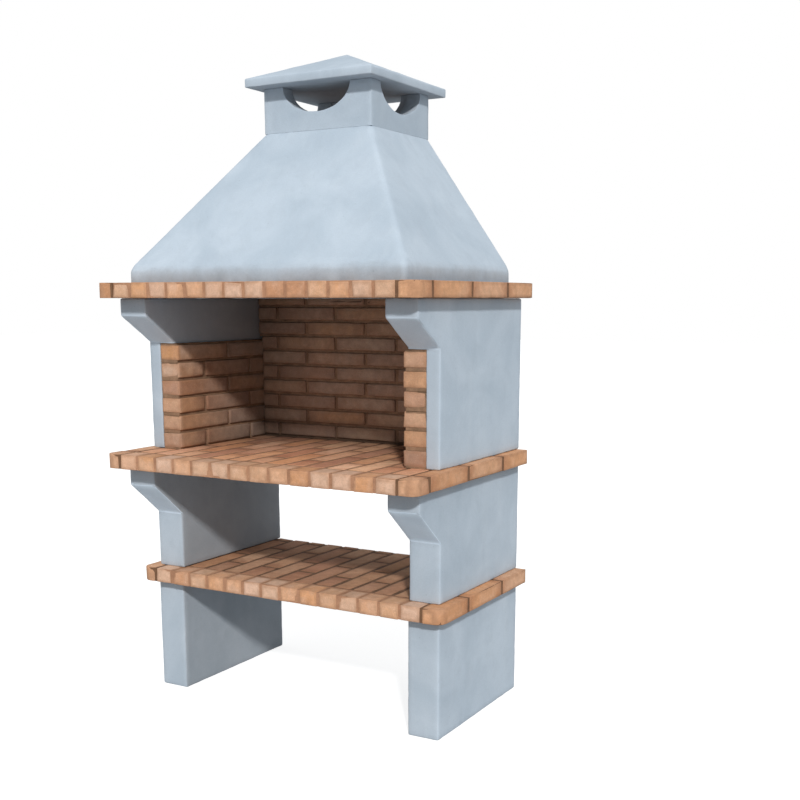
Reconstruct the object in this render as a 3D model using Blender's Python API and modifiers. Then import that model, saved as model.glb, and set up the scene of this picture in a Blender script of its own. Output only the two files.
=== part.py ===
"""Masonry barbecue: concrete walls, three brick slabs, a lined firebox, a hood, a collar and a cap.

Lengths are in metres, +Z is up and the front faces -Y. The origin lies on the ground, in the
middle of the object's bounding box.
"""
import bmesh
import bpy
from math import pi
from mathutils import Matrix, Vector

# Fit
seat = 0.0003
overrun = 0.02

# Walls, each a left and right pair
wall_gap = 0.808
wall_thickness = 0.098
wall_depth = 0.520
wall_round = 0.005
leg_height = 0.348
middle_wall_height = 0.330
middle_wall_setback = 0.007
upper_wall_height = 0.454

# Corbels at the upper front of the walls
middle_corbel_reach = 0.118
middle_corbel_nose = 0.057
middle_corbel_slope = 0.100
upper_corbel_reach = 0.120
upper_corbel_nose = 0.051
upper_corbel_slope = 0.080

# Bricks and mortar
stretcher_length = 0.216
header_width = 0.0587
joint = 0.009
raked_joint = 0.005
paved_joint = 0.003
bed_recess = 0.001
shortest_cut_brick = 0.020
shortest_cut_course = 0.012
narrowest_edging = 0.035

# Slabs
slab_thickness = 0.044
slab_corner_round = 0.028
header_depth = 0.068
paving_thickness = 0.024
lower_shelf_overhang = 0.041
lower_shelf_side_overhang = 0.031
lower_shelf_joint_shift = -0.006
lower_shelf_corner_brick = 0.158
hearth_overhang = 0.181
hearth_side_overhang = 0.028
hearth_corner_brick = 0.072
mantel_overhang = 0.181
mantel_side_overhang = 0.034
mantel_corner_brick = 0.072
mantel_front_beam = 0.140

# Firebox lining and back panel
side_panel_thickness = 0.041
side_lining_thickness = 0.071
side_brick_height = 0.0442
side_courses = 6
side_first_brick = 0.120
side_foot_joint = 0.0045
lining_head_joint = 0.006
back_panel_thickness = 0.051
back_lining_thickness = 0.050
back_brick_height = 0.0382
back_first_brick = 0.060
back_foot_joint = 0.009

# Hood
hood_side_step = 0.073
hood_front_step = 0.064
hood_back_step = 0.002
hood_rim = 0.040
hood_height = 0.430
hood_wall = 0.040
hood_round = 0.012

# Collar
collar_width = 0.368
collar_depth = 0.338
collar_height = 0.126
collar_wall = 0.050
vent_width = 0.230
vent_drop = 0.074

# Cap
cap_side_overhang = 0.031
cap_end_overhang = 0.050
cap_eave = 0.024
cap_rise = 0.084
cap_round = 0.003

# Colours and finish
concrete_colour = (0.47, 0.54, 0.60, 1.0)
concrete_roughness = 0.85
brick_colours = ((0.62, 0.33, 0.20, 1.0), (0.56, 0.29, 0.17, 1.0), (0.66, 0.38, 0.26, 1.0))
brick_roughness = 0.9

# Rounding and roundness
corner_segments = 4
edge_segments = 2
hood_segments = 3
vent_segments = 40
bevel_angle = pi / 6

# Heights of the beds, from the ground up
shelf_bed = leg_height
middle_wall_bed = shelf_bed + slab_thickness
hearth_bed = middle_wall_bed + middle_wall_height
upper_wall_bed = hearth_bed + slab_thickness
mantel_bed = upper_wall_bed + upper_wall_height
hood_bed = mantel_bed + slab_thickness
collar_bed = hood_bed + hood_height
cap_bed = collar_bed + collar_height
side_lining_top = upper_wall_bed + side_foot_joint + side_courses * (side_brick_height + joint) - joint
rebate_top = side_lining_top + lining_head_joint

# Half widths
wall_inner = wall_gap / 2
wall_outer = wall_inner + wall_thickness
mantel_half = wall_outer + mantel_side_overhang
rebate_half = wall_outer - side_panel_thickness
lining_half = rebate_half - side_lining_thickness
hood_half = mantel_half - hood_side_step
collar_half = collar_width / 2
cap_half = collar_half + cap_side_overhang

# Places along Y, counted from the walls' front line, which front_line puts in the frame
hood_back = wall_depth - hood_back_step
collar_front = hood_back - collar_depth
cap_back = hood_back + cap_end_overhang
front_line = (hearth_overhang - cap_back) / 2
panel_face = wall_depth - back_panel_thickness
lining_face = panel_face - back_lining_thickness

for old in list(bpy.data.objects):
    bpy.data.objects.remove(old)
parts = bpy.data.collections.new("masonry_barbecue")
cutters = bpy.data.collections.new("cutters")
bpy.context.scene.collection.children.link(parts)
bpy.context.scene.collection.children.link(cutters)


def at(x, y, z):
    """A place with y counted from the walls' front line."""
    return Vector((x, front_line + y, z))


def base_of(low, high):
    """The middle of the underside of a box."""
    return Vector(((low.x + high.x) / 2, (low.y + high.y) / 2, low.z))


def finish(name, colour, roughness):
    """A material of one colour."""
    material = bpy.data.materials.new(name)
    material.use_nodes = True
    shader = material.node_tree.nodes["Principled BSDF"]
    shader.inputs["Base Color"].default_value = colour
    shader.inputs["Roughness"].default_value = roughness
    shader.inputs["Metallic"].default_value = 0.0
    return material


def concrete(name):
    return finish(name, concrete_colour, concrete_roughness)


def brick(name, turn=0):
    return finish(name, brick_colours[turn % len(brick_colours)], brick_roughness)


def add_object(name, bm, place, material):
    """Turn a bmesh into an object of the barbecue."""
    mesh = bpy.data.meshes.new(name)
    bm.to_mesh(mesh)
    bm.free()
    item = bpy.data.objects.new(name, mesh)
    item.location = place
    parts.objects.link(item)
    if material:
        mesh.materials.append(material)
    return item


def as_cutter(item):
    """Put an object among the hidden cutting shapes."""
    parts.objects.unlink(item)
    cutters.objects.link(item)
    item.hide_render = True
    item.display_type = "WIRE"
    return item


def add_box(bm, low, high):
    """Add a box between two opposite corners and return its corners."""
    size = high - low
    place = Matrix.Translation((low + high) / 2) @ Matrix.Diagonal((size.x, size.y, size.z, 1))
    return bmesh.ops.create_cube(bm, size=1, matrix=place)["verts"]


def round_edges(item, radius, segments):
    """Round every edge of an object."""
    bevel = item.modifiers.new("round", "BEVEL")
    bevel.width = radius
    bevel.segments = segments
    bevel.limit_method = "ANGLE"
    bevel.angle_limit = bevel_angle


def round_between_ends(bm, radius, segments):
    """Round the edges of a solid, except those round its foot and its head."""
    foot = min(v.co.z for v in bm.verts) + seat
    head = max(v.co.z for v in bm.verts) - seat
    edges = [
        edge for edge in bm.edges
        if max(v.co.z for v in edge.verts) > foot and min(v.co.z for v in edge.verts) < head
    ]
    bmesh.ops.bevel(bm, geom=edges, offset=radius, segments=segments, profile=0.5, affect="EDGES")


def cut(item, cutter):
    """Take the cutter's shape out of an object."""
    boolean = item.modifiers.new("cut", "BOOLEAN")
    boolean.operation = "DIFFERENCE"
    boolean.solver = "EXACT"
    boolean.object = cutter


def block(name, low, high, material):
    """A plain block that stands in its place."""
    place = base_of(low, high)
    bm = bmesh.new()
    add_box(bm, low - place, high - place)
    return add_object(name, bm, place, material)


def box_cutter(name, low, high):
    """A hidden block that cuts."""
    return as_cutter(block(name, low, high, None))


def evaluated_mesh(item):
    """The mesh of an object with its modifiers applied."""
    bpy.context.view_layer.update()
    graph = bpy.context.evaluated_depsgraph_get()
    return bpy.data.meshes.new_from_object(item.evaluated_get(graph))


def masonry(name, bricks, inset_low, inset_high, material, rounded=None):
    """Join bricks with one mortar core.

    bricks are pairs of corners. The core is their bounding box, drawn in by the two insets.
    rounded gives the side on which the first brick's upright front edge is rounded.
    """
    low = Vector([min(one[0][axis] for one in bricks) for axis in range(3)])
    high = Vector([max(one[1][axis] for one in bricks) for axis in range(3)])
    place = base_of(low, high)
    laid = bmesh.new()
    for number, (brick_low, brick_high) in enumerate(bricks):
        corners = add_box(laid, brick_low - place, brick_high - place)
        if rounded and number == 0:
            round_corner(laid, corners, rounded, slab_corner_round)
    loose = add_object(name + "_bricks", laid, place, None)
    core = bmesh.new()
    corners = add_box(core, low + inset_low - place, high - inset_high - place)
    if rounded:
        round_corner(core, corners, rounded, slab_corner_round - raked_joint)
    item = add_object(name, core, place, material)
    union = item.modifiers.new("lay", "BOOLEAN")
    union.operation = "UNION"
    union.solver = "EXACT"
    union.object = loose
    joined = evaluated_mesh(item)
    item.modifiers.clear()
    item.data = joined
    bpy.data.objects.remove(loose)
    return item


def round_corner(bm, corners, side, radius):
    """Round the upright front edge of a box on one side."""
    front = min(corner.co.y for corner in corners)
    outer = max(corner.co.x * side for corner in corners)
    upright = [
        corner for corner in corners
        if corner.co.y - front < seat and outer - corner.co.x * side < seat
    ]
    edge = bm.edges.get(upright)
    bmesh.ops.bevel(
        bm, geom=[edge], offset=radius, segments=corner_segments, profile=0.5, affect="EDGES"
    )


def run_of(start, end, first, length=stretcher_length, shortest=shortest_cut_brick):
    """Divide a stretch into bricks, or courses, of one length; the first has a length of its own."""
    pieces = []
    here = start
    size = first
    while end - here > shortest:
        there = min(here + size, end)
        if end - there - joint < shortest:
            there = end
        pieces.append((here, there))
        here = there + joint
        size = length
    return pieces


def stagger(row, first):
    """The length of a row's first brick: every second row starts half a module further on."""
    return first + row % 2 * (stretcher_length + joint) / 2


def columns(half, shift=0):
    """Share a slab's width among its bricks: the left and right of each, from the left edging on."""
    pitch = header_width + joint
    count = int((half - narrowest_edging) / pitch)
    middles = [shift + pitch * step for step in range(-count, count + 1)]
    lefts = [-half] + [middle + joint / 2 for middle in middles]
    rights = [middle - joint / 2 for middle in middles] + [half]
    return list(zip(lefts, rights))


def leg(name, side):
    """One of the two legs."""
    middle = side * (wall_inner + wall_outer) / 2
    low = at(middle - wall_thickness / 2, 0, 0)
    high = at(middle + wall_thickness / 2, wall_depth, leg_height)
    item = block(name, low, high, concrete(name))
    round_edges(item, wall_round, edge_segments)


def outlined(name, outline, foot, left, right, material):
    """A solid between two faces across X, cut from a flat outline of y and height above the foot."""
    curve = bpy.data.curves.new(name, "CURVE")
    curve.dimensions = "2D"
    curve.fill_mode = "BOTH"
    curve.extrude = (right - left) / 2
    line = curve.splines.new("POLY")
    line.points.add(len(outline) - 1)
    for point, (y, z) in zip(line.points, outline):
        point.co = (y, z, 0, 1)
    line.use_cyclic_u = True
    flat = bpy.data.objects.new(name + "_outline", curve)
    flat.location = at((left + right) / 2, 0, foot)
    flat.rotation_euler = (pi / 2, 0, pi / 2)
    parts.objects.link(flat)
    mesh = evaluated_mesh(flat)
    bm = bmesh.new()
    bm.from_mesh(mesh)
    bmesh.ops.remove_doubles(bm, verts=bm.verts, dist=seat / 10)
    item = add_object(name, bm, flat.location, material)
    item.matrix_world = flat.matrix_world
    bpy.data.objects.remove(flat)
    return item


def corbelled_wall(name, side, bed, height, front, reach, nose, slope):
    """A wall with a corbel at its upper front."""
    outline = (
        (front, 0), (wall_depth, 0), (wall_depth, height - seat), (front - reach, height - seat),
        (front - reach, height - nose), (front, height - nose - slope),
    )
    left, right = sorted((side * wall_inner, side * wall_outer))
    item = outlined(name, outline, bed + seat, left, right, concrete(name))
    round_edges(item, wall_round, edge_segments)
    return item


def middle_wall(name, side):
    """One of the two walls between the lower shelf and the hearth."""
    corbelled_wall(
        name, side, middle_wall_bed, middle_wall_height, middle_wall_setback,
        middle_corbel_reach, middle_corbel_nose, middle_corbel_slope,
    )


def upper_wall(name, side):
    """One of the two walls beside the firebox, with a rebate for the lining and the back panel."""
    item = corbelled_wall(
        name, side, upper_wall_bed, upper_wall_height, 0,
        upper_corbel_reach, upper_corbel_nose, upper_corbel_slope,
    )
    bottom, top, back = -overrun, upper_wall_height + overrun, wall_depth + overrun
    head = rebate_top - upper_wall_bed
    rebate = (
        (-overrun, bottom), (back, bottom), (back, top),
        (panel_face, top), (panel_face, head), (-overrun, head),
    )
    left, right = sorted((side * (wall_inner - overrun), side * rebate_half))
    cut(item, as_cutter(outlined(name + "_rebate", rebate, upper_wall_bed, left, right, None)))


def edging(name, side, rows, bed, front, corner_brick):
    """A slab's side edging, with a rounded front corner and the mortar that joins it to the bed."""
    left, right = rows[0] if side < 0 else rows[-1]
    bricks = [
        (at(left, start, bed + seat), at(right, end, bed + slab_thickness))
        for start, end in run_of(front, wall_depth, corner_brick)
    ]
    outer_inset, inner_inset = raked_joint, seat - joint
    left_inset, right_inset = (outer_inset, inner_inset) if side < 0 else (inner_inset, outer_inset)
    masonry(
        name, bricks, Vector((left_inset, raked_joint, bed_recess)),
        Vector((right_inset, raked_joint, paved_joint)), brick(name, 1), side,
    )


def front_headers(name, rows, bed, front):
    """A slab's front row of bricks laid end on, with the mortar behind them."""
    bricks = [
        (at(left, front, bed + seat), at(right, front + header_depth, bed + slab_thickness))
        for left, right in rows[1:-1]
    ]
    masonry(
        name, bricks, Vector((raked_joint, raked_joint, bed_recess)),
        Vector((raked_joint, seat - joint, paved_joint)), brick(name),
    )


def paving(name, rows, bed, front):
    """The bricks laid along the depth on a slab's bed, every second row staggered."""
    start = front + header_depth + joint
    underside = bed + slab_thickness - paving_thickness + seat
    bricks = []
    for row, (left, right) in enumerate(rows[1:-1]):
        for near, far in run_of(start, wall_depth, stagger(row, stretcher_length / 2)):
            bricks.append((at(left, near, underside), at(right, far, bed + slab_thickness)))
    masonry(
        name, bricks, Vector((raked_joint, bed_recess, bed_recess)),
        Vector((raked_joint, raked_joint, paved_joint)), brick(name, 2),
    )


def concrete_bed(name, rows, bed, front, top):
    """The concrete part of a slab, framed by its edging and front headers."""
    low = at(rows[1][0], front + header_depth + joint, bed + seat)
    return block(name, low, at(rows[-2][1], wall_depth, top), concrete(name))


def paved_slab(name, rows, bed, front, corner_brick):
    """A slab with a bed, a front row, two edgings and paving."""
    concrete_bed(name + "_bed", rows, bed, front, bed + slab_thickness - paving_thickness)
    front_headers(name + "_front_headers", rows, bed, front)
    edging(name + "_left_edging", -1, rows, bed, front, corner_brick)
    edging(name + "_right_edging", 1, rows, bed, front, corner_brick)
    paving(name + "_paving", rows, bed, front)


def lower_shelf():
    """The slab between the legs and the middle walls."""
    rows = columns(wall_outer + lower_shelf_side_overhang, lower_shelf_joint_shift)
    paved_slab("lower_shelf", rows, shelf_bed, -lower_shelf_overhang, lower_shelf_corner_brick)


def hearth():
    """The slab that carries the firebox."""
    rows = columns(wall_outer + hearth_side_overhang)
    paved_slab("hearth", rows, hearth_bed, -hearth_overhang, hearth_corner_brick)


def mantel():
    """The slab under the hood, a ring round the smoke opening."""
    rows = columns(mantel_half)
    ring = concrete_bed("mantel_bed", rows, mantel_bed, -mantel_overhang, hood_bed)
    low = at(-lining_half, mantel_front_beam - mantel_overhang, mantel_bed - overrun)
    high = at(lining_half, lining_face, hood_bed + overrun)
    cut(ring, box_cutter("smoke_opening", low, high))
    front_headers("mantel_front_headers", rows, mantel_bed, -mantel_overhang)
    edging("mantel_left_edging", -1, rows, mantel_bed, -mantel_overhang, mantel_corner_brick)
    edging("mantel_right_edging", 1, rows, mantel_bed, -mantel_overhang, mantel_corner_brick)


def side_course(name, side, course):
    """One course of a side lining, laid from the front to the back panel."""
    foot = upper_wall_bed + side_foot_joint + course * (side_brick_height + joint)
    bed_joint = joint if course else side_foot_joint
    left, right = sorted((side * lining_half, side * (rebate_half - seat)))
    bricks = [
        (at(left, start, foot), at(right, end, foot + side_brick_height))
        for start, end in run_of(0, panel_face - seat, stagger(course, side_first_brick))
    ]
    left_inset, right_inset = (bed_recess, raked_joint) if side < 0 else (raked_joint, bed_recess)
    masonry(
        name, bricks, Vector((left_inset, raked_joint, seat - bed_joint)),
        Vector((right_inset, bed_recess, bed_recess)), brick(name, course),
    )


def back_course(name, course, foot, top):
    """One course of the back lining, laid between the side linings and, above them, the walls."""
    bed_joint = joint if course else back_foot_joint
    reach = wall_inner if foot - bed_joint > rebate_top else lining_half
    first = stagger(course, back_first_brick + reach - lining_half)
    bricks = [
        (at(start, lining_face, foot), at(end, panel_face - seat, top))
        for start, end in run_of(seat - reach, reach - seat, first)
    ]
    masonry(
        name, bricks, Vector((bed_recess, raked_joint, seat - bed_joint)),
        Vector((bed_recess, bed_recess, bed_recess)), brick(name, course + 1),
    )


def back_panel():
    """The concrete panel behind the back lining."""
    low = at(seat - rebate_half, panel_face + seat, upper_wall_bed + seat)
    item = block("back_panel", low, at(rebate_half - seat, wall_depth, mantel_bed), concrete("back_panel"))
    round_edges(item, bed_recess, 1)


def tapered(sections):
    """A solid through rectangles: each section is its height, half width, front and back."""
    bm = bmesh.new()
    height, half, front, back = sections[0]
    add_box(bm, at(-half, front, height), at(half, back, height + overrun))
    for step, (height, half, front, back) in enumerate(sections[1:]):
        peak = max(v.co.z for v in bm.verts)
        lid = next(f for f in bm.faces if all(v.co.z > peak - seat for v in f.verts))
        corners = list(lid.verts)
        if step:
            grown = bmesh.ops.extrude_face_region(bm, geom=[lid])["geom"]
            bmesh.ops.delete(bm, geom=[lid], context="FACES_ONLY")
            corners = [v for v in grown if isinstance(v, bmesh.types.BMVert)]
        middle = sum((v.co for v in corners), Vector()) / len(corners)
        for corner in corners:
            x = half if corner.co.x > middle.x else -half
            corner.co = at(x, back if corner.co.y > middle.y else front, height)
    bmesh.ops.recalc_face_normals(bm, faces=bm.faces)
    return bm


def hood():
    """The smoke hood: an upright rim, then four faces that lean in; the back one stays upright."""
    low, rim, high = hood_bed + seat, hood_bed + hood_rim, collar_bed
    hood_front = hood_front_step - mantel_overhang
    outside = tapered((
        (low, hood_half, hood_front, hood_back),
        (rim, hood_half, hood_front, hood_back),
        (high, collar_half, collar_front, hood_back),
    ))
    round_between_ends(outside, hood_round, hood_segments)
    item = add_object("hood", outside, Vector((0, 0, 0)), concrete("hood"))
    hollow = tapered((
        (low - overrun, hood_half - hood_wall, hood_front + hood_wall, hood_back - hood_wall),
        (rim, hood_half - hood_wall, hood_front + hood_wall, hood_back - hood_wall),
        (high, collar_half - collar_wall, collar_front + collar_wall, hood_back - collar_wall),
        (high + overrun, collar_half - collar_wall, collar_front + collar_wall, hood_back - collar_wall),
    ))
    cut(item, as_cutter(add_object("hood_hollow", hollow, Vector((0, 0, 0)), None)))


def vent_cutter(name, along_x):
    """An oval bar through two opposite sides of the collar, centred on its upper edge."""
    bm = bmesh.new()
    bmesh.ops.create_cone(
        bm, cap_ends=True, segments=vent_segments, radius1=1, radius2=1, depth=1
    )
    reach = (collar_width if along_x else collar_depth) + overrun * 2
    size = Matrix.Diagonal((vent_width / 2, vent_drop, reach, 1))
    tilt = Matrix.Rotation(pi / 2, 4, "X")
    turn = Matrix.Rotation(pi / 2 if along_x else 0, 4, "Z")
    half_step = Matrix.Rotation(pi / vent_segments, 4, "Z")
    bm.transform(turn @ tilt @ size @ half_step)
    return as_cutter(add_object(name, bm, at(0, collar_front + collar_depth / 2, cap_bed), None))


def collar():
    """The square tube on the hood, with a smoke vent in each side."""
    low = at(-collar_half, collar_front, collar_bed + seat)
    high = at(collar_half, hood_back, cap_bed)
    place = base_of(low, high)
    outside = bmesh.new()
    add_box(outside, low - place, high - place)
    round_between_ends(outside, wall_round, edge_segments)
    item = add_object("chimney_collar", outside, place, concrete("chimney_collar"))
    wall = Vector((collar_wall, collar_wall, -overrun))
    cut(item, box_cutter("collar_bore", low + wall, high - wall))
    cut(item, vent_cutter("front_and_back_vents", False))
    cut(item, vent_cutter("side_vents", True))


def cap():
    """The chimney cap: an eave that runs round a low pyramid."""
    low = at(-cap_half, collar_front - cap_end_overhang, cap_bed + seat)
    high = at(cap_half, cap_back, cap_bed + cap_eave)
    place = base_of(low, high)
    bm = bmesh.new()
    corners = add_box(bm, low - place, high - place)
    lid = next(f for f in bm.faces if all(v.co.z > cap_eave / 2 for v in f.verts))
    bmesh.ops.poke(bm, faces=[lid])
    peak = next(v for v in bm.verts if v not in corners)
    peak.co.z += cap_rise
    item = add_object("chimney_cap", bm, place, concrete("chimney_cap"))
    round_edges(item, cap_round, edge_segments)


for side_name, side in (("left", -1), ("right", 1)):
    leg(side_name + "_leg", side)
    middle_wall(side_name + "_middle_wall", side)
    upper_wall(side_name + "_upper_wall", side)
    for course in range(side_courses):
        side_course(side_name + "_lining_course_" + str(course + 1), side, course)
lower_shelf()
hearth()
mantel()
back_panel()
back_beds = run_of(
    upper_wall_bed + back_foot_joint, mantel_bed, back_brick_height, back_brick_height, shortest_cut_course
)
for course, (foot, top) in enumerate(back_beds):
    back_course("back_lining_course_" + str(course + 1), course, foot, top)
hood()
collar()
cap()
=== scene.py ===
"""A masonry barbecue in daylight: cast concrete, clay bricks, raked mortar joints."""
import random
from math import radians

import bmesh
import bpy
from mathutils import Matrix, Vector, noise


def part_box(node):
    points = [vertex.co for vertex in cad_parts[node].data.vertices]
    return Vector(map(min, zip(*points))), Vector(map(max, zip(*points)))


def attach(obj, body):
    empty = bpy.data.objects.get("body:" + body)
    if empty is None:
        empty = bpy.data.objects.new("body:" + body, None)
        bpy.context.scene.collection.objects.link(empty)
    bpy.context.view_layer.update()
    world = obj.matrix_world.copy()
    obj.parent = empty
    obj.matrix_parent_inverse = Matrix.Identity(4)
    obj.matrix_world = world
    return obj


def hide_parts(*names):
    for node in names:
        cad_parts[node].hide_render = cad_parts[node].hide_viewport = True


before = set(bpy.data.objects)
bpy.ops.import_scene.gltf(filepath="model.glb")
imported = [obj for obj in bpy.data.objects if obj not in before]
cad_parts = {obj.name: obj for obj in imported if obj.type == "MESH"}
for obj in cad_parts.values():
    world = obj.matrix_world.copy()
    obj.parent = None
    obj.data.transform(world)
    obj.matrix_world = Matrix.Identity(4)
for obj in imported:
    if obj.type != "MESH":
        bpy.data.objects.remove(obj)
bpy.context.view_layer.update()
noise.seed_set(1)

# Lengths are in metres. seat is the gap between the CAD's pieces, and serves as a tolerance too.
seat = 0.0003
weld = 1e-5

# Brickwork
joint = 0.009
header_width = 0.0587
stretcher_length = 0.216
shortest_cut_brick = 0.020
side_brick_height = 0.0442
side_first_brick = 0.120
back_first_brick = 0.060
lining_half = 0.390
side_courses = 6
back_courses = 10
head_mortar = 0.0056
slab_corner_round = 0.028
corner_segments = 6
lower_shelf_corner_brick = 0.158
upper_corner_brick = 0.072

# Depth of the mortar behind the brick faces
raked = 0.0065
struck = 0.002
flush = 0.001

# Wear of the bricks
arris = 0.0034
nosed_arris_share = 0.6
nose = 0.0065
worn_band = 0.008
least_broad_face = 0.0007
brick_cut = 0.05
face_warp = 0.0005
edge_warp = 0.0010
chip_chance = 0.22
chip_reach = 0.013
chip_depth = 0.0035
size_spread = 0.0012

# Sanded mortar
mortar_cut = 0.014
mortar_drift = 0.0009
mortar_grit = 0.0006

# Cast concrete
cast_cut = 0.018
cast_warp = 0.0006
cut_edge_round = 0.0012

# Edges turned by more than these angles, in degrees, are rounded or shaded sharp
brick_round_angle = 40
cast_round_angle = 60
sharp_angle = 50

# CAD faces turned by less than the first angle are one face. Concrete edges turned by the second or
# more are fully worn.
flat_angle = 0.5
full_wear_angle = 20

# How many bumps the broad and the fine unevenness have in a metre, and how far apart the bricks'
# patterns may lie
brick_waves, brick_grit = 38, 140
mortar_waves, mortar_grains = 60, 170
cast_waves, cast_grit = 9, 55
pattern_reach = 40

# How much painted shade darkens concrete at its front and its rear: the inner faces of the walls and
# the collar, and the undersides; below 0 it is painted light. Then how much painted shade darkens the
# walls' fronts, and how much painted light makes the slopes of the corbels paler.
painted_light_and_shade_share = {
    "leg": (0.66, 0.66), "middle_wall": (0.85, 0.85), "upper_wall": (-0.20, 1.65),
    "mantel_bed": (0.8, 0.8), "chimney_collar": (0.6, 0.6), "chimney_cap": (0.6, 0.6),
}
painted_front_shade = 0.17
painted_slope_light = {"middle_wall": -1.0, "upper_wall": -0.72}

# How pale each concrete element is
cast_level = {
    "left_leg": 0.99, "right_leg": 1.01, "left_middle_wall": 0.95, "right_middle_wall": 0.98,
    "left_upper_wall": 1.02, "right_upper_wall": 1.02, "lower_shelf_bed": 0.98, "hearth_bed": 1.02,
    "mantel_bed": 1.0, "back_panel": 0.98, "hood": 1.02, "chimney_collar": 0.955, "chimney_cap": 1.0,
}


def unit(axis):
    """The direction of one axis."""
    return Vector([float(axis == other) for other in range(3)])


def kept_within(place, low, high):
    """A place, moved back into a box if it is outside."""
    return Vector([min(max(place[axis], low[axis]), high[axis]) for axis in range(3)])


def new_bmesh():
    """A bmesh with the float layers that the brick finishes read."""
    bm = bmesh.new()
    for layer in ("tone", "worn", "grain", "near_end", "far_end"):
        bm.verts.layers.float.new(layer)
    return bm


def finished_piece(name, bm, materials, node):
    """Make an object of a bmesh, without the normals it came with, and let it stand for its CAD node."""
    mesh = bpy.data.meshes.new(name)
    bm.to_mesh(mesh)
    bm.free()
    for material in materials:
        mesh.materials.append(material)
    carried = mesh.attributes.get("custom_normal")
    if carried:
        mesh.attributes.remove(carried)
    mesh.shade_smooth()
    mesh.set_sharp_from_angle(angle=radians(sharp_angle))
    piece = bpy.data.objects.new(name, mesh)
    bpy.context.scene.collection.objects.link(piece)
    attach(piece, "root")
    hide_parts(node)


def box_in(bm, low, high):
    """Add a box between two corners."""
    size = high - low
    place = Matrix.Translation((low + high) / 2) @ Matrix.Diagonal((size.x, size.y, size.z, 1))
    bmesh.ops.create_cube(bm, size=1, matrix=place)


def round_upright(bm, side, radius):
    """Round the upright front edge on one side of a box."""
    front = min(v.co.y for v in bm.verts)
    outer = max(v.co.x * side for v in bm.verts)
    ends = [v for v in bm.verts if v.co.y - front < seat and outer - v.co.x * side < seat]
    bmesh.ops.bevel(
        bm, geom=[bm.edges.get(ends)], offset=radius, segments=corner_segments, profile=0.5,
        affect="EDGES", material=-1,
    )


def soften(bm, radius, least_angle, foot=None):
    """Round the sharp edges of a solid, but not those round its foot, where one is given."""
    sharp = [
        e for e in bm.edges
        if e.is_manifold and e.calc_face_angle(0) > radians(least_angle)
        and (foot is None or max(v.co.z for v in e.verts) > foot + seat)
    ]
    bmesh.ops.bevel(
        bm, geom=sharp, offset=radius, segments=2, profile=0.5, affect="EDGES", material=-1,
        clamp_overlap=True,
    )


def cross_cut(bm, step):
    """Cut the faces crosswise, so that they can be uneven. A face isn't cut along its own normal."""
    for axis in range(3):
        start = min(v.co[axis] for v in bm.verts)
        end = max(v.co[axis] for v in bm.verts)
        count = int((end - start) / step)
        normal = unit(axis)
        for number in range(1, count + 1):
            place = start + (end - start) * number / (count + 1)
            faces = []
            for face in bm.faces:
                leaning = max(range(3), key=lambda other: abs(face.normal[other]))
                if leaning == axis:
                    continue
                reach = [v.co[axis] for v in face.verts]
                if min(reach) < place < max(reach):
                    faces.append(face)
            around = dict.fromkeys(faces)
            for face in faces:
                around.update(dict.fromkeys(face.edges))
                around.update(dict.fromkeys(face.verts))
            bmesh.ops.bisect_plane(
                bm, geom=list(around), dist=weld, plane_co=normal * place, plane_no=normal
            )


def brick_body(low, high, rng, nosed, rounded, longest):
    """A brick with its arrises and, on a front row, its nose rounded, cut across to be warped."""
    bm = new_bmesh()
    size = high - low
    along = unit(longest)
    start = low if rounded else low + along * rng.uniform(0, size_spread)
    box_in(bm, start, high - along * rng.uniform(0, size_spread))
    if rounded:
        round_upright(bm, rounded, slab_corner_round)
    if nosed:
        front_top = [
            e for e in bm.edges
            if all(high.z - v.co.z < seat and v.co.y - low.y < seat for v in e.verts)
        ]
        bmesh.ops.bevel(
            bm, geom=front_top, offset=nose * rng.uniform(0.8, 1.2), segments=3, profile=0.5,
            affect="EDGES", material=-1,
        )
    radius = arris * rng.uniform(0.8, 1.3) * (nosed_arris_share if nosed else 1.0)
    soften(bm, radius, brick_round_angle)
    broad = [
        f for f in bm.faces
        if f.calc_area() > least_broad_face and max(abs(c) for c in f.normal) > 0.999
    ]
    worn = bm.verts.layers.float["worn"]
    for v in bm.verts:
        v[worn] = 1
    bmesh.ops.inset_individual(bm, faces=broad, thickness=worn_band, use_even_offset=True)
    for face in broad:
        for v in face.verts:
            v[worn] = 0
    pieces = int(size[longest] / brick_cut)
    for number in range(1, pieces):
        spot = low[longest] + size[longest] * (number + rng.uniform(-0.2, 0.2)) / pieces
        everything = list(bm.verts) + list(bm.edges) + list(bm.faces)
        bmesh.ops.bisect_plane(bm, geom=everything, dist=weld, plane_co=along * spot, plane_no=along)
    return bm


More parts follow.
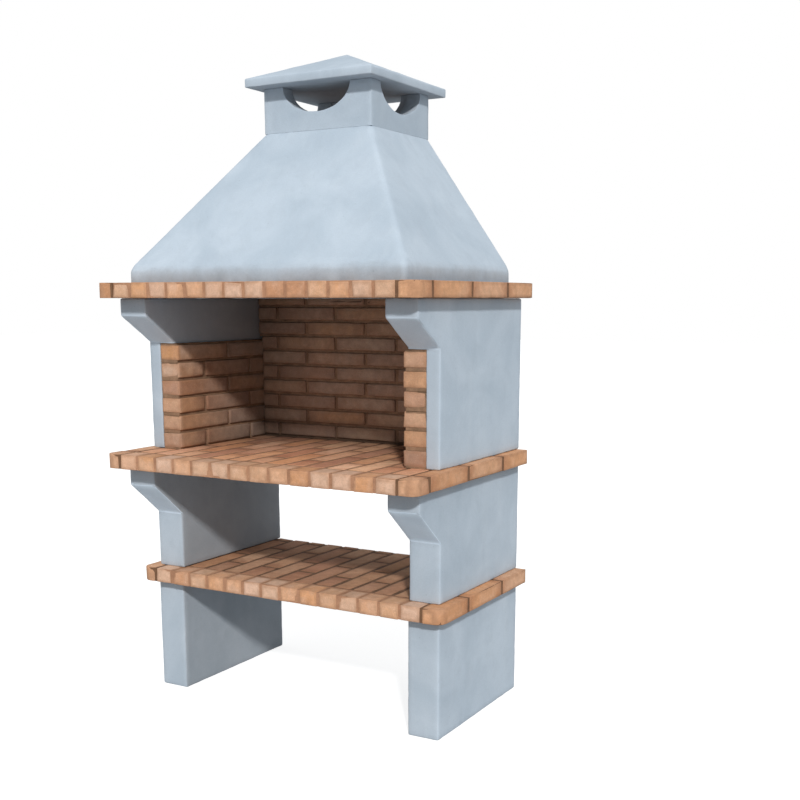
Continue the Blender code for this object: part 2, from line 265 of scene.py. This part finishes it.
def brick(low, high, rng, nosed, rounded, row_low, row_high):
    """One fired brick with worn arrises, a slightly warped body and a chip here and there.

    row_low and row_high are the corners of the whole row. Its outer ends aren't darkened: a metre is
    added there to the distance from the brick's end, which the finish reads.
    """
    size = high - low
    longest = max(range(3), key=lambda axis: size[axis])
    bm = brick_body(low, high, rng, nosed, rounded, longest)
    worn = bm.verts.layers.float["worn"]
    tone = bm.verts.layers.float["tone"]
    grain = bm.verts.layers.float["grain"]
    near_end = bm.verts.layers.float["near_end"]
    far_end = bm.verts.layers.float["far_end"]
    near_clear = float(low[longest] - row_low[longest] < seat)
    far_clear = float(row_high[longest] - high[longest] < seat)
    shade = rng.random()
    turn = rng.random() * pattern_reach
    chips = [
        Vector([rng.choice((low[axis], high[axis])) for axis in range(3)])
        for attempt in range(3) if rng.random() < chip_chance
    ]
    middle = (low + high) / 2
    for v in bm.verts:
        v[tone] = shade
        v[grain] = turn
        v[near_end] = v.co[longest] - low[longest] + near_clear
        v[far_end] = high[longest] - v.co[longest] + far_clear
        warp = face_warp + (edge_warp - face_warp) * v[worn]
        v.co += noise.noise_vector(v.co * brick_waves + Vector((turn, 0, 0))) * warp
        v.co += noise.noise_vector(v.co * brick_grit) * warp * v[worn]
        for chip in chips:
            near = 1 - (v.co - chip).length / chip_reach
            if near > 0:
                v.co += (middle - v.co).normalized() * near * chip_depth
        v.co = kept_within(v.co, low, high)
    return bm


def masonry(node, bricks, inset_low, inset_high, materials, nosed=False, rounded=0):
    """Lay bricks, given as pairs of corners, round a core of mortar."""
    rng = random.Random(node)
    work = new_bmesh()
    row_low = Vector([min(one[0][axis] for one in bricks) for axis in range(3)])
    row_high = Vector([max(one[1][axis] for one in bricks) for axis in range(3)])
    low, high = row_low + inset_low, row_high - inset_high
    box_in(work, low, high)
    if rounded:
        round_upright(work, rounded, slab_corner_round - flush)
    cross_cut(work, mortar_cut)
    for v in work.verts:
        drift = noise.noise_vector(v.co * mortar_waves) * mortar_drift
        grit = noise.noise_vector(v.co * mortar_grains) * mortar_grit
        v.co = kept_within(v.co + (drift + grit), low, high)
    for face in work.faces:
        face.material_index = 1
    loose = bpy.data.meshes.new(node + "_loose")
    for number, (brick_low, brick_high) in enumerate(bricks):
        corner = rounded if number == 0 else 0
        laid = brick(brick_low, brick_high, rng, nosed or corner, corner, row_low, row_high)
        laid.to_mesh(loose)
        laid.free()
        work.from_mesh(loose)
    bpy.data.meshes.remove(loose)
    finished_piece(node + "_brickwork", work, materials, node)


def run_of(start, end, first):
    """Cut a row from start to end into bricks, the first one of a given length."""
    pieces = []
    here, length = start, first
    while end - here > shortest_cut_brick:
        there = min(here + length, end)
        if end - there - joint < shortest_cut_brick:
            there = end
        pieces.append((here, there))
        here, length = there + joint, stretcher_length
    return pieces


def stagger(row, first):
    """The length of a row's first brick: every second row starts half a brick further on."""
    return first + row % 2 * (stretcher_length + joint) / 2


def header_rows(low, high):
    """The left and right of each header across a slab."""
    count = round((high.x - low.x + joint) / (header_width + joint))
    lefts = [low.x + (header_width + joint) * number for number in range(count)]
    return [(left, left + header_width) for left in lefts]


def front_headers(slab, materials):
    """A slab's front row."""
    node = slab + "_front_headers"
    low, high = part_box(node)
    back = high.y - joint + seat
    bricks = [
        (Vector((left, low.y, low.z)), Vector((right, back, high.z)))
        for left, right in header_rows(low, high)
    ]
    masonry(
        node, bricks, Vector((struck, struck, flush)), Vector((struck, seat - joint, flush)),
        materials, nosed=True,
    )


def edging(slab, side, corner_brick, materials):
    """A slab's side edging with its rounded front corner."""
    node = slab + ("_left_edging" if side < 0 else "_right_edging")
    low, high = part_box(node)
    left = low.x if side < 0 else low.x + joint - seat
    right = high.x - joint + seat if side < 0 else high.x
    bricks = [
        (Vector((left, start, low.z)), Vector((right, end, high.z)))
        for start, end in run_of(low.y, high.y, corner_brick)
    ]
    outer, inner = flush, seat - joint
    left_inset, right_inset = (outer, inner) if side < 0 else (inner, outer)
    masonry(
        node, bricks, Vector((left_inset, flush, flush)), Vector((right_inset, flush, flush)),
        materials, rounded=side,
    )


def paving(slab, materials):
    """The bricks laid along the depth of a slab, every second row staggered."""
    node = slab + "_paving"
    low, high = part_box(node)
    bricks = []
    for row, (left, right) in enumerate(header_rows(low, high)):
        for near, far in run_of(low.y, high.y, stagger(row, stretcher_length / 2)):
            bricks.append((Vector((left, near, low.z)), Vector((right, far, high.z))))
    masonry(
        node, bricks, Vector((raked, flush, flush)), Vector((raked, raked, flush)),
        materials,
    )


def side_course(side, course, materials):
    """One course of a side lining. The top one has mortar on it, up to the wall."""
    node = ("left" if side < 0 else "right") + "_lining_course_" + str(course + 1)
    low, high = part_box(node)
    foot = high.z - side_brick_height
    bricks = [
        (Vector((low.x, start, foot)), Vector((high.x, end, high.z)))
        for start, end in run_of(low.y, high.y, stagger(course, side_first_brick))
    ]
    left_inset, right_inset = (flush, raked) if side < 0 else (raked, flush)
    top_inset = -head_mortar if course == side_courses - 1 else flush
    masonry(
        node, bricks, Vector((left_inset, struck, low.z - foot)),
        Vector((right_inset, flush, top_inset)), materials,
    )


def back_course(course, materials):
    """One course of the back lining."""
    node = "back_lining_course_" + str(course + 1)
    low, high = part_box(node)
    foot = low.z + joint - seat
    first = stagger(course, back_first_brick + high.x + seat - lining_half)
    bricks = [
        (Vector((start, low.y, foot)), Vector((end, high.y, high.z)))
        for start, end in run_of(low.x, high.x, first)
    ]
    masonry(
        node, bricks, Vector((flush, raked, low.z - foot)), Vector((flush, flush, flush)),
        materials,
    )


def for_kind(table, node, otherwise):
    """The entry of a table whose name ends the node's name."""
    return next((table[kind] for kind in table if node.endswith(kind)), otherwise)


def facing_inward(node, side, v, middle):
    """How much a spot faces the inside of the barbecue or, on the mantel and the cap, the ground."""
    if node in ("chimney_cap", "mantel_bed"):
        return -v.normal.z
    if node == "chimney_collar":
        return float(v.normal.dot((v.co - middle) * Vector((1, 1, 0))) < 0)
    return -side * v.normal.x


def casting(node, material):
    """A concrete element: the CAD solid with its cut edges rounded and its faces slightly uneven."""
    low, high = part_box(node)
    bm = bmesh.new()
    bm.from_mesh(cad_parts[node].data)
    bmesh.ops.remove_doubles(bm, verts=bm.verts, dist=weld)
    bmesh.ops.dissolve_limit(bm, angle_limit=radians(flat_angle), verts=bm.verts, edges=bm.edges)
    soften(bm, cut_edge_round, cast_round_angle, low.z)
    cross_cut(bm, cast_cut)
    worn = bm.verts.layers.float.new("worn")
    painted_light_and_shade = bm.verts.layers.float.new("painted_light_and_shade")
    at_front, at_rear = for_kind(painted_light_and_shade_share, node, (0, 0))
    side = node.startswith("right") - node.startswith("left")
    bm.normal_update()
    for v in bm.verts:
        bend = max(e.calc_face_angle(0) for e in v.link_edges)
        v[worn] = min(1.0, bend / radians(full_wear_angle))
        depth = (v.co.y - low.y) / (high.y - low.y)
        share = at_front + (at_rear - at_front) * depth
        inward = facing_inward(node, side, v, (low + high) / 2)
        # Painted shade on the inner faces, the collar's bore and the undersides
        v[painted_light_and_shade] = max(0.0, share) * max(0.0, inward)
        walls_front = v.normal.y < -0.9
        corbel_slope = v.normal.y < -0.4 and v.normal.z < -0.4
        # Painted shade on the walls' fronts
        if side and walls_front:
            v[painted_light_and_shade] = painted_front_shade
        # Painted light on the corbels' slopes
        if side and corbel_slope:
            v[painted_light_and_shade] = for_kind(painted_slope_light, node, 0)
    for v in bm.verts:
        v.co += noise.noise_vector(v.co * cast_waves) * cast_warp
        v.co += noise.noise_vector(v.co * cast_grit) * cast_warp * (0.3 + v[worn])
        v.co = kept_within(v.co, low, high)
    finished_piece(node + "_casting", bm, [material], node)


# Finishes

class Finish:
    """A material built up from a few kinds of node."""

    def __init__(self, name, specular):
        self.material = bpy.data.materials.new(name)
        self.material.use_nodes = True
        self.nodes = self.material.node_tree.nodes
        self.links = self.material.node_tree.links
        self.shader = self.nodes["Principled BSDF"]
        self.shader.inputs["Metallic"].default_value = 0.0
        self.shader.inputs["Specular IOR Level"].default_value = specular
        self.place = self.nodes.new("ShaderNodeTexCoord").outputs["Object"]

    def set(self, socket, value):
        """Link a socket to another one, or give it a plain value."""
        if isinstance(value, bpy.types.NodeSocket):
            self.links.new(value, socket)
        elif value is not None:
            socket.default_value = value

    def mapped(self, shift, scale=(1, 1, 1)):
        """The place, shifted and scaled."""
        node = self.nodes.new("ShaderNodeMapping")
        node.inputs["Location"].default_value = shift
        node.inputs["Scale"].default_value = scale
        self.set(node.inputs["Vector"], self.place)
        return node.outputs["Vector"]

    def moved(self, shift):
        """The place, moved by an attribute's value."""
        node = self.nodes.new("ShaderNodeVectorMath")
        node.operation = "ADD"
        self.set(node.inputs[0], self.place)
        self.set(node.inputs[1], shift)
        return node.outputs["Vector"]

    def noise(self, scale, detail, rough, vector=None, warp=0.0):
        """Cloudy noise from 0 to 1."""
        node = self.nodes.new("ShaderNodeTexNoise")
        node.inputs["Scale"].default_value = scale
        node.inputs["Detail"].default_value = detail
        node.inputs["Roughness"].default_value = rough
        node.inputs["Distortion"].default_value = warp
        self.set(node.inputs["Vector"], vector or self.place)
        return node.outputs["Fac"]

    def cells(self, scale, vector):
        """The distance from the middle of each cell, and a colour for each cell."""
        node = self.nodes.new("ShaderNodeTexVoronoi")
        node.inputs["Scale"].default_value = scale
        self.set(node.inputs["Vector"], vector)
        return node.outputs["Distance"], node.outputs["Color"]

    def attribute(self, name):
        """A value that the piece carries at each spot."""
        node = self.nodes.new("ShaderNodeAttribute")
        node.attribute_name = name
        return node.outputs["Fac"]

    def axis(self, name):
        """One coordinate of the place."""
        node = self.nodes.new("ShaderNodeSeparateXYZ")
        self.set(node.inputs["Vector"], self.place)
        return node.outputs[name]

    def math(self, kind, one, two=None):
        """Arithmetic on one or two values."""
        node = self.nodes.new("ShaderNodeMath")
        node.operation = kind
        self.set(node.inputs[0], one)
        self.set(node.inputs[1], two)
        return node.outputs["Value"]

    def times(self, one, two):
        """One value times another."""
        return self.math("MULTIPLY", one, two)

    def spread(self, value, low, high, to_low=0.0, to_high=1.0):
        """A value's range from low to high, moved to another range and cut off at its ends."""
        node = self.nodes.new("ShaderNodeMapRange")
        for name, given in zip(
            ("Value", "From Min", "From Max", "To Min", "To Max"), (value, low, high, to_low, to_high)
        ):
            self.set(node.inputs[name], given)
        return node.outputs["Result"]

    def ramp(self, value, stops):
        """A colour chosen by a value."""
        node = self.nodes.new("ShaderNodeValToRGB")
        band = node.color_ramp
        while len(band.elements) < len(stops):
            band.elements.new(1.0)
        for element, (position, colour) in zip(band.elements, stops):
            element.position = position
            element.color = (*colour, 1.0)
        self.set(node.inputs["Fac"], value)
        return node.outputs["Color"]

    def mix(self, factor, one, two, kind="MIX"):
        """One colour with another one mixed in."""
        node = self.nodes.new("ShaderNodeMix")
        node.data_type = "RGBA"
        node.blend_type = kind
        self.set(node.inputs[0], factor)
        for socket, value in zip((node.inputs[6], node.inputs[7]), (one, two)):
            self.set(socket, (*value, 1.0) if isinstance(value, tuple) else value)
        return node.outputs[2]

    def tinted(self, factor, colour, tint):
        """A colour multiplied by a tint, as far as the factor says."""
        return self.mix(factor, colour, tint, "MULTIPLY")

    def brightened(self, colour, value):
        """A colour times a value."""
        node = self.nodes.new("ShaderNodeVectorMath")
        node.operation = "SCALE"
        self.set(node.inputs[0], colour)
        self.set(node.inputs["Scale"], value)
        return node.outputs["Vector"]

    def done(self, colour, roughness, height, strength, distance):
        """Give the shader its colour, its roughness and a bump, and return the material."""
        node = self.nodes.new("ShaderNodeBump")
        node.inputs["Strength"].default_value = strength
        node.inputs["Distance"].default_value = distance
        self.set(node.inputs["Height"], height)
        self.set(self.shader.inputs["Base Color"], colour)
        self.set(self.shader.inputs["Roughness"], roughness)
        self.set(self.shader.inputs["Normal"], node.outputs["Normal"])
        return self.material


# The firebox, where ash and painted light and shade depend on the place. Along Y it reaches from
# -0.19 at the walls' front to 0.22 at the back lining.
hearth_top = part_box("hearth_paving")[1].z
lining_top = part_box("left_lining_course_6")[1].z
lining_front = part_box("left_lining_course_1")[0].y


def hearth_shade(finish):
    """The share of light on the hearth, a painted shade: darker deep in the firebox and beside the
    linings.
    """
    deep = finish.spread(finish.axis("Y"), -0.05, 0.21, 1.0, 0.42)
    inside = finish.spread(finish.axis("Y"), -0.20, -0.08)
    aside = finish.spread(finish.math("ABSOLUTE", finish.axis("X")), 0.17, 0.30, 0.0, 0.28)
    return finish.times(deep, finish.math("SUBTRACT", 1.0, finish.times(aside, inside)))


def corner_shade(finish):
    """The share of light on the back lining, less towards its corners."""
    return finish.spread(finish.math("ABSOLUTE", finish.axis("X")), 0.16, 0.37, 1.0, 0.62)


def joint_shade(finish):
    """The share of light in the joints of the back lining: dark low down and darkest at the foot."""
    low_down = finish.spread(finish.axis("Z"), hearth_top, hearth_top + 0.14, 0.50, 1.0)
    foot = finish.spread(finish.axis("Z"), hearth_top + 0.006, hearth_top + 0.013, 0.45, 1.0)
    return finish.times(corner_shade(finish), finish.times(low_down, foot))


def ash_and_painted_firebox_light(clay, colour, value, ash_and_shade_grey, deep_painted_shade):
    """The colour and brightness of lining bricks with ash, and with painted light and shade.

    Near the front a painted warm light tints them, less close to the concrete above, where a painted
    grey shade tint is mixed in. Deeper in, ash and painted shade grey them. Painted shade darkens them
    at the foot, and more so deeper in.
    """
    depth = clay.spread(clay.axis("Y"), -0.15, 0.12)
    behind_front = clay.spread(clay.axis("Y"), lining_front + 0.002, lining_front + 0.015)
    near = clay.times(behind_front, clay.math("SUBTRACT", 1.0, depth))
    # Painted warm light near the front, fading close to the concrete above
    painted_warm_light = clay.spread(clay.axis("Z"), lining_top - 0.09, lining_top, 1.0, 0.25)
    colour = clay.tinted(clay.times(near, painted_warm_light), colour, (0.85, 0.77, 0.67))
    # A painted grey shade tint on the top course near the front
    painted_shade_grey = clay.spread(clay.axis("Z"), lining_top - 0.07, lining_top - 0.02, 0.0, 0.45)
    colour = clay.mix(clay.times(near, painted_shade_grey), colour, (0.52, 0.44, 0.385))
    # Ash and painted shade grey the bricks deeper in, in cloudy patches
    cloudy = clay.spread(clay.noise(9, 4, 0.6), 0.3, 0.7, 0.7 * ash_and_shade_grey, 1.3 * ash_and_shade_grey)
    colour = clay.mix(clay.times(depth, cloudy), colour, (0.30, 0.27, 0.24))
    # Painted shade: darker at the foot, and deeper in darker still
    foot = clay.spread(clay.axis("Z"), hearth_top, hearth_top + 0.14, 0.77, 1.0)
    deep_foot = clay.spread(clay.axis("Z"), hearth_top, hearth_top + 0.08, 0.40, deep_painted_shade)
    dark = clay.math("SUBTRACT", 1.0, clay.times(depth, deep_foot))
    return colour, clay.times(value, clay.times(foot, dark))


def fired_clay(name, tones, level, ash_and_shade_grey=0.0, deep_painted_shade=0.0, shade=None):
    """Clay brick: a tone of its own for each brick, flashed patches, sand specks, brown arrises.

    The ends that meet another brick in a row are darker. Two settings give the firebox's lining ash
    grey with painted shade, and painted shade deep in; shade gives the share of light by the place.
    """
    clay = Finish(name, specular=0.25)
    worn = clay.attribute("worn")
    body = clay.moved(clay.attribute("grain"))
    colour = clay.ramp(clay.attribute("tone"), tones)
    flash = clay.spread(clay.noise(15, 3, 0.55, body, 0.6), 0.44, 0.66)
    colour = clay.mix(clay.times(flash, 0.42), colour, tones[2][1])
    smoke = clay.spread(clay.noise(12, 4, 0.6, body, 1.0), 0.52, 0.74)
    colour = clay.mix(clay.times(smoke, 0.42), colour, (0.40, 0.19, 0.09))
    # Darker towards the ends that meet another brick in a row
    end = clay.math("MINIMUM", clay.attribute("near_end"), clay.attribute("far_end"))
    ragged = clay.spread(clay.noise(22, 3, 0.6, body), 0.3, 0.7, 0.030, 0.070)
    end_darkening = clay.spread(end, 0.0, ragged, 0.68, 0.0)
    colour = clay.tinted(end_darkening, colour, (0.62, 0.50, 0.46))
    from_speck, speck_colour = clay.cells(330, body)
    speckled = clay.ramp(
        clay.math("FRACT", clay.times(speck_colour, 7.0)),
        ((0.0, (0.20, 0.11, 0.08)), (0.5, (0.55, 0.33, 0.22)), (1.0, (0.88, 0.72, 0.58))),
    )
    colour = clay.mix(clay.times(clay.spread(from_speck, 0.20, 0.34, 1.0, 0.0), 0.30), colour, speckled)
    smear = clay.spread(clay.noise(60, 4, 0.7, body), 0.25, 0.60, 0.35, 1.0)
    colour = clay.mix(clay.times(clay.times(worn, smear), 0.55), colour, (0.38, 0.20, 0.115))
    fine = clay.noise(240, 5, 0.72, body)
    cloud = clay.noise(45, 4, 0.6, body)
    value = clay.times(
        clay.spread(fine, 0.3, 0.7, 0.88, 1.12), clay.spread(cloud, 0.3, 0.7, 0.88, 1.12)
    )
    value = clay.times(value, level)
    if ash_and_shade_grey:
        colour, value = ash_and_painted_firebox_light(clay, colour, value, ash_and_shade_grey, deep_painted_shade)
    if shade:
        value = clay.times(value, shade(clay))
    from_pit = clay.cells(110, body)[0]
    pit = clay.spread(from_pit, 0.10, 0.26)
    height = clay.math("ADD", clay.times(fine, 0.55), clay.math("ADD", clay.times(pit, 0.35), cloud))
    roughness = clay.spread(fine, 0.3, 0.7, 0.82, 0.97)
    return clay.done(clay.brightened(colour, value), roughness, height, 0.55, 0.0016)


def lime_mortar(name, pale, dark, shade=None):
    """Sanded mortar in the joints. shade gives the share of light by the place."""
    mortar = Finish(name, specular=0.2)
    cloud = mortar.noise(26, 4, 0.6)
    sand = mortar.noise(420, 3, 0.8)
    colour = mortar.mix(mortar.spread(cloud, 0.35, 0.65), dark, pale)
    colour = mortar.brightened(colour, mortar.spread(sand, 0.25, 0.75, 0.78, 1.22))
    if shade:
        colour = mortar.brightened(colour, shade(mortar))
    return mortar.done(colour, 0.95, sand, 0.8, 0.0012)


def cast_concrete(name, shift, level, painted_shade_foot=None):
    """Bluish grey cast concrete: soft clouds, faint upright run marks, fine sand and air holes.

    The last setting is the height of the foot of a piece that gets painted shade where it stands on
    bricks.
    """
    cast = Finish(name, specular=0.22)
    body = cast.mapped(shift)
    cloud = cast.spread(cast.noise(4.2, 4, 0.55, body, 0.7), 0.36, 0.66)
    colour = cast.mix(cloud, (0.438, 0.522, 0.606), (0.520, 0.604, 0.690))
    patch = cast.noise(15, 5, 0.62, body, 0.4)
    patchy = cast.times(cast.spread(patch, 0.48, 0.74), 0.35)
    colour = cast.mix(patchy, colour, (0.400, 0.470, 0.545))
    runs = cast.noise(1.0, 4, 0.6, cast.mapped(shift, (26, 26, 2.6)))
    run_marks = cast.times(cast.spread(runs, 0.52, 0.78), 0.18)
    colour = cast.mix(run_marks, colour, (0.585, 0.655, 0.715))
    rough_wear = cast.spread(cast.noise(38, 4, 0.65, body), 0.40, 0.68)
    rubbed = cast.times(cast.times(cast.attribute("worn"), rough_wear), 0.03)
    colour = cast.mix(rubbed, colour, (0.640, 0.690, 0.730))
    from_hole, hole_colour = cast.cells(62, body)
    chosen = cast.spread(cast.math("FRACT", cast.times(hole_colour, 5.0)), 0.80, 0.84)
    hole = cast.times(cast.spread(from_hole, 0.045, 0.085, 1.0, 0.0), chosen)
    colour = cast.mix(cast.times(hole, 0.55), colour, (0.22, 0.26, 0.30))
    sand = cast.noise(330, 4, 0.75, body)
    grains = cast.spread(sand, 0.25, 0.75, 0.93, 1.07)
    colour = cast.brightened(colour, cast.times(grains, level))
    # Painted shade on inner faces, undersides and walls' fronts; below 0, painted light on corbel slopes
    painted_light_and_shade = cast.attribute("painted_light_and_shade")
    colour = cast.tinted(cast.spread(painted_light_and_shade, 0, 1), colour, (0.68, 0.62, 0.58))
    colour = cast.brightened(colour, cast.spread(painted_light_and_shade, -1, 0, 1.5, 1.0))
    colour = cast.brightened(colour, cast.spread(painted_light_and_shade, 1, 2, 1.0, 0.5))
    # Painted shade along the foot, where the piece stands on the bricks
    if painted_shade_foot:
        uneven = cast.spread(cast.noise(14, 4, 0.6, body), 0.3, 0.7, -0.010, 0.012)
        above = cast.math("ADD", cast.axis("Z"), uneven)
        foot_shade = cast.spread(above, painted_shade_foot, painted_shade_foot + 0.045, 1.0, 0.0)
        colour = cast.tinted(foot_shade, colour, (0.64, 0.605, 0.585))
    grit = cast.math("ADD", cast.times(sand, 0.30), cast.times(patch, 0.8))
    height = cast.math("SUBTRACT", grit, cast.times(hole, 1.2))
    return cast.done(colour, cast.spread(patch, 0.3, 0.7, 0.80, 0.93), height, 0.40, 0.0016)


front_tones = (
    (0.0, (0.67, 0.335, 0.155)), (0.25, (0.66, 0.41, 0.265)), (0.5, (0.71, 0.475, 0.35)),
    (0.75, (0.70, 0.36, 0.18)), (1.0, (0.56, 0.29, 0.165)),
)
edge_tones = (
    (0.0, (0.66, 0.335, 0.165)), (0.25, (0.66, 0.375, 0.22)), (0.5, (0.70, 0.43, 0.28)),
    (0.75, (0.64, 0.325, 0.165)), (1.0, (0.55, 0.285, 0.155)),
)
lining_tones = (
    (0.0, (0.56, 0.29, 0.14)), (0.3, (0.58, 0.36, 0.235)), (0.6, (0.43, 0.24, 0.16)),
    (0.8, (0.60, 0.405, 0.29)), (1.0, (0.38, 0.21, 0.145)),
)
shelf_tones = (
    (0.0, (0.54, 0.27, 0.14)), (0.3, (0.60, 0.355, 0.22)), (0.6, (0.48, 0.23, 0.135)),
    (0.8, (0.64, 0.38, 0.235)), (1.0, (0.43, 0.21, 0.13)),
)
hearth_tones = (
    (0.0, (0.57, 0.27, 0.135)), (0.3, (0.67, 0.405, 0.25)), (0.6, (0.43, 0.19, 0.11)),
    (0.8, (0.73, 0.44, 0.285)), (1.0, (0.35, 0.16, 0.10)),
)
front_mortar = lime_mortar("front_mortar", (0.49, 0.265, 0.16), (0.37, 0.195, 0.115))
edge_mortar = lime_mortar("edge_mortar", (0.23, 0.125, 0.07), (0.16, 0.085, 0.048))
hearth_mortar = lime_mortar(
    "hearth_mortar", (0.38, 0.21, 0.127), (0.265, 0.148, 0.087), shade=hearth_shade
)
shelf_mortar = lime_mortar("shelf_mortar", (0.20, 0.115, 0.07), (0.13, 0.075, 0.045))
lining_mortar = lime_mortar("lining_mortar", (0.33, 0.20, 0.125), (0.21, 0.13, 0.08))
back_lining_mortar = lime_mortar(
    "back_lining_mortar", (0.42, 0.26, 0.17), (0.28, 0.17, 0.11), shade=joint_shade
)
front_bricks = fired_clay("front_bricks", front_tones, level=1.0)
edge_bricks = fired_clay("edge_bricks", edge_tones, level=1.0)
hearth_bricks = fired_clay("hearth_bricks", hearth_tones, level=1.38, shade=hearth_shade)
shelf_bricks = fired_clay("shelf_bricks", shelf_tones, level=0.90)
side_lining_bricks = fired_clay("side_lining_bricks", lining_tones, level=1.0, ash_and_shade_grey=0.44, deep_painted_shade=0.22)
back_lining_bricks = fired_clay(
    "back_lining_bricks", lining_tones, level=1.14, ash_and_shade_grey=0.35, shade=corner_shade
)

for slab, corner_brick in (
    ("lower_shelf", lower_shelf_corner_brick), ("hearth", upper_corner_brick),
    ("mantel", upper_corner_brick),
):
    front_headers(slab, [front_bricks, front_mortar])
    for side in (-1, 1):
        edging(slab, side, corner_brick, [edge_bricks, edge_mortar])
paving("hearth", [hearth_bricks, hearth_mortar])
paving("lower_shelf", [shelf_bricks, shelf_mortar])
for course in range(side_courses):
    for side in (-1, 1):
        side_course(side, course, [side_lining_bricks, lining_mortar])
for course in range(back_courses):
    back_course(course, [back_lining_bricks, back_lining_mortar])

for number, (node, level) in enumerate(cast_level.items()):
    # The hood gets painted shade along its foot
    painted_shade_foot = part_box(node)[0].z if node == "hood" else None
    shift = (number * 1.7, number * 0.9, number * 2.3)
    casting(node, cast_concrete(node + "_concrete", shift, level, painted_shade_foot))


# Floor, sky, sun and camera

def seen_directly(nodes, links):
    """1 for a ray from the camera, also by way of a mirror or a pane, and 0 for the others."""
    path = nodes.new("ShaderNodeLightPath")
    seen = path.outputs["Is Camera Ray"]
    for kind in ("Is Glossy Ray", "Is Transmission Ray"):
        either = nodes.new("ShaderNodeMath")
        either.operation = "MAXIMUM"
        links.new(seen, either.inputs[0])
        links.new(path.outputs[kind], either.inputs[1])
        seen = either.outputs["Value"]
    return seen


def emptied_tree(owner):
    """The nodes and links of a material or world, with nothing in them yet."""
    owner.use_nodes = True
    owner.node_tree.nodes.clear()
    return owner.node_tree.nodes, owner.node_tree.links


def pale_floor():
    """A wide floor that shows nearly white, and keeps the shadow on it faint."""
    mesh = bpy.data.meshes.new("floor")
    ground = bmesh.new()
    bmesh.ops.create_grid(ground, x_segments=1, y_segments=1, size=30)
    ground.to_mesh(mesh)
    ground.free()
    floor = bpy.data.objects.new("floor", mesh)
    bpy.context.scene.collection.objects.link(floor)
    pale = bpy.data.materials.new("pale_floor")
    mesh.materials.append(pale)
    nodes, links = emptied_tree(pale)
    diffuse = nodes.new("ShaderNodeBsdfDiffuse")
    diffuse.inputs["Color"].default_value = (0.45, 0.45, 0.45, 1)
    strength = nodes.new("ShaderNodeMath")
    strength.operation = "MULTIPLY"
    strength.inputs[1].default_value = 0.80
    links.new(seen_directly(nodes, links), strength.inputs[0])
    glow = nodes.new("ShaderNodeEmission")
    glow.inputs["Color"].default_value = (1, 1, 1, 1)
    links.new(strength.outputs["Value"], glow.inputs["Strength"])
    both = nodes.new("ShaderNodeAddShader")
    links.new(diffuse.outputs["BSDF"], both.inputs[0])
    links.new(glow.outputs["Emission"], both.inputs[1])
    output = nodes.new("ShaderNodeOutputMaterial")
    links.new(both.outputs["Shader"], output.inputs["Surface"])


def studio_sky():
    """Soft light from all round, and a white background."""
    world = bpy.data.worlds.new("studio")
    bpy.context.scene.world = world
    nodes, links = emptied_tree(world)
    sky = nodes.new("ShaderNodeBackground")
    sky.inputs["Color"].default_value = (0.97, 0.985, 1.0, 1)
    sky.inputs["Strength"].default_value = 0.54
    backdrop = nodes.new("ShaderNodeBackground")
    backdrop.inputs["Color"].default_value = (1, 1, 1, 1)
    backdrop.inputs["Strength"].default_value = 1.0
    choice = nodes.new("ShaderNodeMixShader")
    links.new(seen_directly(nodes, links), choice.inputs["Fac"])
    links.new(sky.outputs["Background"], choice.inputs[1])
    links.new(backdrop.outputs["Background"], choice.inputs[2])
    output = nodes.new("ShaderNodeOutputWorld")
    links.new(choice.outputs["Shader"], output.inputs["Surface"])


def sunlight():
    """A slightly soft sun from the front right."""
    light = bpy.data.lights.new("sun", "SUN")
    light.energy = 2.35
    light.angle = radians(4)
    light.color = (1.0, 0.985, 0.965)
    sun = bpy.data.objects.new("sun", light)
    sun.rotation_euler = Vector((-0.69, 1.0, -0.74)).to_track_quat("-Z", "Y").to_euler()
    bpy.context.scene.collection.objects.link(sun)


def photo_camera():
    """The camera at the photo's place and angle."""
    lens = bpy.data.cameras.new("camera")
    lens.lens = 50.844
    lens.sensor_width = 36
    lens.shift_x = -0.0073
    lens.shift_y = 0.1468
    camera = bpy.data.objects.new("camera", lens)
    camera.location = (1.90214, -2.83787, 1.21369)
    camera.rotation_euler = (radians(79.127), 0, radians(29.63))
    bpy.context.scene.collection.objects.link(camera)
    bpy.context.scene.camera = camera


pale_floor()
studio_sky()
sunlight()
photo_camera()
bpy.context.scene.view_settings.view_transform = "Standard"
